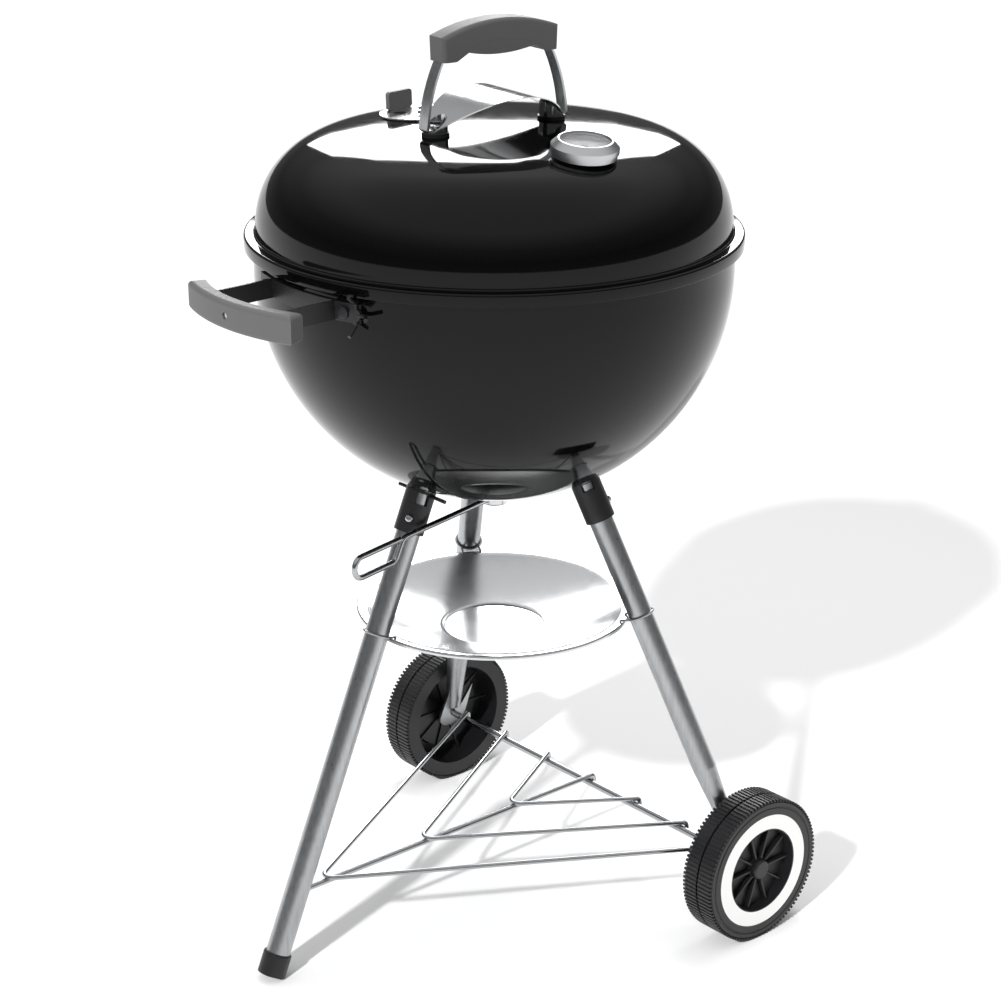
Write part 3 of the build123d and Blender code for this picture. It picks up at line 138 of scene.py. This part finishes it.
WEARS = {
    "aluminised": (tube_steel, ["leg_front", "leg_right", "leg_left", "leg_sockets", "axle_plates"]),
    "wire": (bright_wire, ["rack_spine", "rack_wire_outer", "rack_wire_middle", "rack_wire_inner",
                           "dish_clips", "sweep_lever", "axle"]),
    "grates": (grate_wire, ["charcoal_grate", "cooking_grate"]),
    "sheet": (spun_sheet, ["ash_dish", "sweep_blades"]),
    "strip": (strap_steel, ["handle_bow", "grate_tabs", "button_springs"]),
    "bracket": (black_plastic, ["side_bracket", "tool_hook", "bracket_bolts", "stop_rod"]),
    "shield": (mirror_steel, ["heat_shield"]),
    "fasteners": (fastener, ["bracket_nuts", "grip_screw", "insert_screws", "handle_bolts",
                             "handle_nuts", "damper_rivet", "snap_button_front", "snap_button_right",
                             "snap_button_left", "sweep_hub", "thermometer_nut", "shaft_bush"]),
    "lid grip": (grip_dark, ["lid_grip", "lid_grip_insert"]),
    "side grip": (grip_light, ["side_grip", "damper_tab"]),
    "black plastic": (black_plastic, ["sleeve_front", "sleeve_right", "sleeve_left", "foot_cap", "axle_caps",
                                      "handle_spacers", "wheel_right", "wheel_left"]),
    "enamel": (enamel, ["bowl", "lid_shell"]),
    "ring": (white_ring, ["wheel_trim_right", "wheel_trim_left"]),
    "gauge": (bezel_steel, ["thermometer_case", "thermometer_bezel"]),
    "dial": (dial_grey, ["thermometer_dial"]),
    "needle": (needle_black, ["thermometer_needle"]),
    "window": (window, ["thermometer_lens"]),
    "damper": (damper_sheet, ["damper_disc"]),
}
for title, (mat, nodes) in WEARS.items():
    for node in nodes:
        for place in frame["nodes"][node].material_slots:
            place.material = mat
dressed = {node for mat, nodes in WEARS.values() for node in nodes}
print("finishes on", len(dressed), "nodes; bare:", sorted(set(frame["nodes"]) - dressed))

# %% [markdown]
# ## Shapes that are spun
# The bowl, the lid, the dish and the wheels are all turned about an axis. Each starts from its half outline as
# a chain of vertices, and bmesh's spin carries that chain round in many small steps, so that the enamel's
# reflections run smoothly. The outlines repeat the CAD model's own radii.

# %% Helpers for outlines and spinning
def arc(centre, radius, start, end, steps):
    """Points on an arc as (distance, height); angles in degrees from straight out, upwards positive."""
    turns = [math.radians(start + (end - start) * k / steps) for k in range(steps + 1)]
    return [(centre[0] + radius * math.cos(a), centre[1] + radius * math.sin(a)) for a in turns]


def spun_mesh(outline, steps):
    """A new bmesh of a closed outline turned about Z, with its normals facing outwards."""
    bm = bmesh.new()
    points = [bm.verts.new((x / 1000, 0, z / 1000)) for x, z in outline]
    edges = [bm.edges.new((points[k], points[(k + 1) % len(points)])) for k in range(len(points))]
    bmesh.ops.spin(bm, geom=points + edges, cent=(0, 0, 0), axis=(0, 0, 1), angle=2 * math.pi,
                   steps=steps, use_merge=True, dvec=(0, 0, 0))
    bmesh.ops.remove_doubles(bm, verts=bm.verts, dist=1e-6)
    bmesh.ops.recalc_face_normals(bm, faces=bm.faces)
    return bm


def spun_piece(name, outline, mat, steps=192, place=Matrix.Identity(4), smooth=35):
    """A closed outline of (distance, height) in millimetres, spun all the way round."""
    bm = spun_mesh(outline, steps)
    bmesh.ops.transform(bm, matrix=place, verts=bm.verts)
    return as_object(name, bm, mat, smooth)


def as_object(name, bm, mat, smooth=35):
    mesh = bpy.data.meshes.new(name)
    bm.to_mesh(mesh)
    bm.free()
    mesh.materials.append(mat)
    for face in mesh.polygons:
        face.use_smooth = True
    mesh.set_sharp_from_angle(angle=math.radians(smooth))
    piece = bpy.data.objects.new(name, mesh)
    bpy.context.scene.collection.objects.link(piece)
    return piece


def cut_away(piece, cutters, smooth=35):
    """Cuts closed meshes out of a piece with Blender's Boolean, then keeps only the result."""
    for cutter in cutters:
        step = piece.modifiers.new("cut", "BOOLEAN")
        step.operation, step.solver, step.object = "DIFFERENCE", "EXACT", cutter
    bpy.context.view_layer.update()
    evaluated = piece.evaluated_get(bpy.context.evaluated_depsgraph_get())
    mesh = bpy.data.meshes.new_from_object(evaluated)
    piece.modifiers.clear()
    piece.data = mesh
    mesh.set_sharp_from_angle(angle=math.radians(smooth))
    for cutter in cutters:
        bpy.data.objects.remove(cutter)
    return piece


def stand_for(piece, body, slot, *nodes):
    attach(piece, body)
    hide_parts(*nodes)
    print(piece.name, "has", len(piece.data.polygons), "faces")
    return piece


# %% The lid's outline
RIM = 754.0
SHEET = 1.5
WALL = 242.1
crown_rise, crown_radius, crown_reach = 104.0, 2200.0, 125.0
haunch_radius, shoulder_radius = 354.0, 91.0


def lid_centres():
    tilt = math.asin(crown_reach / crown_radius)
    crown = (0.0, RIM + crown_rise - crown_radius)
    haunch = (crown_reach - haunch_radius * math.sin(tilt),
              crown[1] + crown_radius * math.cos(tilt) - haunch_radius * math.cos(tilt))
    across = WALL - shoulder_radius - haunch[0]
    rise = math.sqrt((haunch_radius - shoulder_radius) ** 2 - across**2)
    shoulder = (WALL - shoulder_radius, haunch[1] + rise)
    turn = math.atan2(across, shoulder[1] - haunch[1])
    return crown, haunch, shoulder, 90 - math.degrees(tilt), 90 - math.degrees(turn)


def lid_dome(inward):
    crown, haunch, shoulder, first, second = lid_centres()
    line = arc(crown, crown_radius - inward, 90, first, 10)
    line += arc(haunch, haunch_radius - inward, first, second, 22)[1:]
    return line + arc(shoulder, shoulder_radius - inward, second, 0, 20)[1:]


fold, reach, skirt = 2.5, 254.0, 13.0
outline = lid_dome(0) + arc((WALL + fold, RIM + fold), fold, 180, 270, 5)
outline += arc((reach - fold, RIM - fold), fold, 90, 0, 5)
outline += arc((reach - SHEET / 2, RIM - skirt + SHEET / 2), SHEET / 2, 0, -180, 6)
outline += [(reach - SHEET, RIM - fold), (reach - fold, RIM - SHEET), (WALL - SHEET, RIM - SHEET)]
outline += lid_dome(SHEET)[::-1]
at_kettle = Matrix.Translation(KETTLE)
lid = spun_piece("lid_enamel", outline, enamel, steps=224, place=at_kettle)

# %% [markdown]
# The lid's four draught openings lie under the damper. Each is cut with a short cylinder that stands on the
# sloping lid, so its axis comes from the damper's own hinge in the CAD model.

# %% Cut the draught openings
JOINTS = {joint["name"]: joint for joint in frame["joints"]}
damper_pin = JOINTS["damper_turn"]


def upright_on(point, axis):
    """A placement whose Z is the axis and whose X points away from the kettle's centre line."""
    up = Vector(axis).normalized()
    out = Vector(point) - KETTLE
    out = (out - out.dot(up) * up).normalized()
    side = up.cross(out)
    return Matrix.Translation(Vector(point)) @ Matrix((out, side, up)).transposed().to_4x4()


def round_cutter(name, place, radius, length, steps=40):
    bm = bmesh.new()
    bmesh.ops.create_cone(bm, cap_ends=True, segments=steps, radius1=radius, radius2=radius,
                          depth=length, matrix=place)
    return as_object(name, bm, enamel)


on_damper = upright_on(damper_pin["pos_m"], damper_pin["axis"])
holes = []
for k in range(4):
    turn = math.radians(45 + 90 * k)
    spot = on_damper @ Matrix.Translation((0.024 * math.cos(turn), 0.024 * math.sin(turn), 0))
    holes.append(round_cutter(f"draught_{k}", spot, 0.007, 0.03))
cut_away(lid, holes)
stand_for(lid, "lid", "enamel", "lid_shell")

# %% The bowl
BOWL, MIDDLE, BEAD = 245.0, 718.0, 749.0
inside, bead = BOWL - SHEET, 3.2
outline = arc((0, MIDDLE), BOWL, -90, 0, 64) + [(BOWL, BEAD - 3)]
outline += arc((inside + bead, BEAD), bead, -75, 180, 18)
outline += arc((0, MIDDLE), inside, 0, -90, 64)
bowl = spun_piece("bowl_enamel", outline, enamel, steps=224, place=at_kettle)


def wedge_cutter(name, azimuth, inner, outer, angle, low, high):
    bm = bmesh.new()
    first = math.radians(azimuth - angle / 2)
    corners = [(inner, low), (outer, low), (outer, high), (inner, high)]
    across, along = math.cos(first) / 1000, math.sin(first) / 1000
    ring = [bm.verts.new((r * across, r * along, z / 1000)) for r, z in corners]
    face = bm.faces.new(ring)
    bmesh.ops.spin(bm, geom=[face] + face.edges[:] + ring, cent=(0, 0, 0), axis=(0, 0, 1),
                   angle=math.radians(angle), steps=12, dvec=(0, 0, 0), use_merge=False)
    bmesh.ops.remove_doubles(bm, verts=bm.verts, dist=1e-6)
    bmesh.ops.recalc_face_normals(bm, faces=bm.faces)
    bmesh.ops.transform(bm, matrix=at_kettle, verts=bm.verts)
    return as_object(name, bm, enamel)


vents = []
for k in range(3):
    vents.append(wedge_cutter(f"vent_{k}", -30 + 120 * k, 26, 74, 38, 468, 500))
vents.append(round_cutter("bush_hole", Matrix.Translation(KETTLE + Vector((0, 0, 0.473))), 0.007, 0.03))
cut_away(bowl, vents)
stand_for(bowl, "frame", "enamel", "bowl")

# %% [markdown]
# ## The wheels
# Each wheel is one moulding: a tyre ring with a ribbed tread, a flat outer face, and a sunken web with spokes.
# The body is spun, and then a single tread bar and a single spoke are copied round the axle with spin's
# duplicate option, which is quicker and truer than placing each by hand.

# %% Build a wheel about Z, then lay it on the axle
AXLE = Vector(JOINTS["wheel_right_spin"]["pos_m"])
TYRE = 80.0
wheel_low, wheel_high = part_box("wheel_right")
inner_face, outer_face = wheel_low.x * 1000, wheel_high.x * 1000
groove = 1.5
base = TYRE - 1.1          # bottom of the tread's grooves
tread_bars, spokes = 104, 10


def copied_round(bm, size, centre, count, bevel=0.0):
    """A block copied round Z."""
    made = bmesh.ops.create_cube(bm, size=1.0)["verts"]
    bmesh.ops.scale(bm, vec=[s / 1000 for s in size], verts=made)
    if bevel:
        edges = list({e for v in made for e in v.link_edges})
        result = bmesh.ops.bevel(bm, geom=edges, offset=bevel / 1000, segments=1, affect="EDGES",
                                 profile=0.5, material=-1)
        made = list({v for f in result["faces"] for v in f.verts})
    bmesh.ops.translate(bm, vec=[c / 1000 for c in centre], verts=made)
    faces = list({f for v in made for f in v.link_faces})
    edges = list({e for f in faces for e in f.edges})
    bmesh.ops.spin(bm, geom=faces + edges + made, cent=(0, 0, 0), axis=(0, 0, 1), dvec=(0, 0, 0),
                   angle=2 * math.pi * (count - 1) / count, steps=count - 1, use_duplicate=True)


def wheel_mesh():
    lo, hi = inner_face, outer_face
    web = hi - 12.0
    mid = (lo + hi) / 2
    outline = [(61, lo), (76.5, lo)]
    outline += [(base, lo + 3.0), (base, mid - 1.2), (base - 2, mid - 1.2)]
    outline += [(base - 2, mid + 1.2), (base, mid + 1.2)]
    outline += [(base, hi - 3.0), (76.5, hi), (72.6, hi), (72.0, hi - 0.8), (71.0, hi - 0.8), (70.4, hi)]
    outline += [(63.3, hi), (63.3, hi - groove), (47.4, hi - groove), (47.4, hi)]
    outline += arc((46.8, hi - 0.8), 0.8, 90, 180, 4) + [(44, web), (12, web), (12, hi - 8), (4.05, hi - 8)]
    outline += [(4.05, lo + 19.8), (12, lo + 19.8), (12, web - 3), (46, web - 3)]
    outline += [(48, hi - 6.5), (61, hi - 6.5)]
    bm = spun_mesh(outline, 144)
    row = (hi - lo) / 2 - 1.2
    for start in (lo, mid + 1.2):
        copied_round(bm, (2.6, 2.9, row), (TYRE - 1.32, 0, start + row / 2), tread_bars, bevel=0.4)
    copied_round(bm, (33, 2.5, 6), (28.2, 0, web + 3), spokes, bevel=0.6)
    copied_round(bm, (50, 2.5, web - 3 - (lo + 23.2)), (36.5, 0, (web - 3 + lo + 23.2) / 2), spokes)
    return bm


for side, name in ((1, "right"), (-1, "left")):
    bm = wheel_mesh()
    turned = Matrix(((0, 0, side), (1, 0, 0), (0, side, 0))).to_4x4()
    lay = Matrix.Translation(Vector((0, AXLE.y, AXLE.z))) @ turned
    bmesh.ops.transform(bm, matrix=lay, verts=bm.verts)
    wheel = as_object(f"wheel_{name}_moulding", bm, black_plastic, 30)
    stand_for(wheel, f"wheel_{name}", "black_plastic", f"wheel_{name}")

# %% [markdown]
# ## The ash dish
# The dish is thin spun sheet with a rolled edge and a round step in the middle. A thin closed outline gives
# both its faces at once, so no Solidify is needed.

# %% Spin the dish
edge, lip, sheet, floor = (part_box("ash_dish")[1].x) * 1000, 4.0, 1.2, 56.0
flange, depth, top = edge - 9.0, 31.0, 342.5
curve = (flange**2 + depth**2) / (2 * depth)
centre = top - depth + curve


def dish_line(extra, steps=24):
    a = math.degrees(math.asin(floor / curve))
    b = math.degrees(math.asin(flange / curve))
    return arc((0, centre), curve + extra, -90 + a, -90 + b, steps)


upper, lower = dish_line(0), dish_line(sheet)[::-1]
step = upper[0][1] - 1.6
outline = [(0, step), (floor - 3, step)] + upper + [(edge - 2, top)] + arc((edge - 2, top - 2), 2, 90, 0, 5)[1:]
outline += [(edge, top - lip), (edge - sheet, top - lip), (edge - sheet, top - 2.4), (edge - 2.6, top - sheet)]
outline += lower + [(floor - 3, step - sheet), (0, step - sheet)]
dish = spun_piece("ash_dish_spun", outline, spun_sheet, steps=160, place=at_kettle, smooth=25)
stand_for(dish, "frame", "dish", "ash_dish")

# %% [markdown]
# ## The thermometer's scale
# The dial carries a ring of short marks with a few longer ones. They are tiny blocks, copied round the
# needle's axis, so they stay crisp at any distance.

# %% Marks on the dial
needle_pin = JOINTS["needle_turn"]
on_gauge = upright_on(needle_pin["pos_m"], needle_pin["axis"])
bm = bmesh.new()
for k in range(25):
    long = k % 6 == 0
    bar = bmesh.ops.create_cube(bm, size=1.0)["verts"]
    bmesh.ops.scale(bm, vec=(0.0042 if long else 0.0022, 0.0007 if long else 0.0004, 0.0003), verts=bar)
    bmesh.ops.translate(bm, vec=(0.0192 if long else 0.0202, 0, 0.00925), verts=bar)
    turn = Matrix.Rotation(math.radians(-150 + 12.5 * k), 3, "Z")
    bmesh.ops.rotate(bm, cent=(0, 0, 0), matrix=turn, verts=bar)
bmesh.ops.transform(bm, matrix=on_gauge, verts=bm.verts)
marks = as_object("dial_marks", bm, needle_black)
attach(marks, "lid")
print("dial marks:", len(marks.data.polygons), "faces")

# %% [markdown]
# ## Studio
# The grill stands on a plain pale floor. One broad lamp from the front left throws the soft shadow to the right
# and back, a panel behind makes the enamel's highlights, one overhead adds soft light, and a sky brightest
# overhead fills the rest.

# %% Floor
bm = bmesh.new()
bmesh.ops.create_grid(bm, x_segments=2, y_segments=2, size=30)
paper = grain(finish("studio_paper", (0.93, 0.93, 0.93), roughness=0.9, specular=0.0), 3, rough=(0.88, 0.92))
ground = as_object("floor", bm, paper)
ground.location = (0, 0, -0.0005)


# %% Lamps
def aim(thing, target):
    thing.rotation_euler = (Vector(target) - thing.location).to_track_quat("-Z", "Y").to_euler()


def panel(name, place, target, size, power):
    light = bpy.data.lights.new(name, "AREA")
    light.shape, light.size, light.size_y, light.energy = "RECTANGLE", size[0], size[1], power
    lamp = bpy.data.objects.new(name, light)
    bpy.context.scene.collection.objects.link(lamp)
    lamp.location = Vector(place) + KETTLE
    aim(lamp, Vector(target) + KETTLE)
    return lamp


sun = bpy.data.lights.new("key", "SUN")
sun.energy, sun.angle = 3.2, math.radians(3)
key = bpy.data.objects.new("key", sun)
bpy.context.scene.collection.objects.link(key)
key.location = (1.35, -3.4, 2.53)
aim(key, (0, 0, 0))
key.visible_glossy = False
panel("back_panel", (-2.6, 2.2, 2.0), (0, 0, 0.8), (2.2, 1.0), 70).visible_diffuse = False
panel("top_panel", (-0.4, 0.6, 3.2), (0, 0, 0.8), (1.6, 1.2), 40).visible_glossy = False

# %% Sky: bright high up, dark round the horizon, so that round metal shows a light and a dark side
world = bpy.data.worlds.new("studio")
bpy.context.scene.world = world
world.use_nodes = True
tree = world.node_tree
sky = tree.nodes["Background"]
direction = tree.nodes.new("ShaderNodeTexCoord")
split = tree.nodes.new("ShaderNodeSeparateXYZ")
shade = tree.nodes.new("ShaderNodeValToRGB")
tree.links.new(direction.outputs["Generated"], split.inputs["Vector"])
tree.links.new(split.outputs["Z"], shade.inputs["Fac"])
tree.links.new(shade.outputs["Color"], sky.inputs["Color"])
stops = shade.color_ramp.elements
stops[0].position, stops[0].color = 0.0, (0.16, 0.16, 0.16, 1)
stops[1].position, stops[1].color = 1.0, (1.0, 1.0, 1.0, 1)
for position, level in ((0.18, 0.12), (0.42, 0.30), (0.72, 0.95)):
    stops.new(position).color = (level, level, level, 1)
sky.inputs["Strength"].default_value = 0.82
bpy.context.scene.view_settings.view_transform = "Standard"

# %% [markdown]
# ## Camera
# A longish lens stands about two and a half metres away, a little above the lid, and looks down about twenty
# degrees past the front leg and the right wheel.

# %% Place the camera
lens = bpy.data.cameras.new("camera")
lens.lens, lens.sensor_width = 90.83, 36.0
camera = bpy.data.objects.new("camera", lens)
bpy.context.scene.collection.objects.link(camera)
camera.location = Vector((1.90380, -1.62024, 1.38949)) + KETTLE
camera.rotation_euler = Vector((-0.71203, 0.60905, -0.34939)).to_track_quat("-Z", "Y").to_euler()
bpy.context.scene.camera = camera
print("camera", tuple(round(v, 3) for v in camera.location))
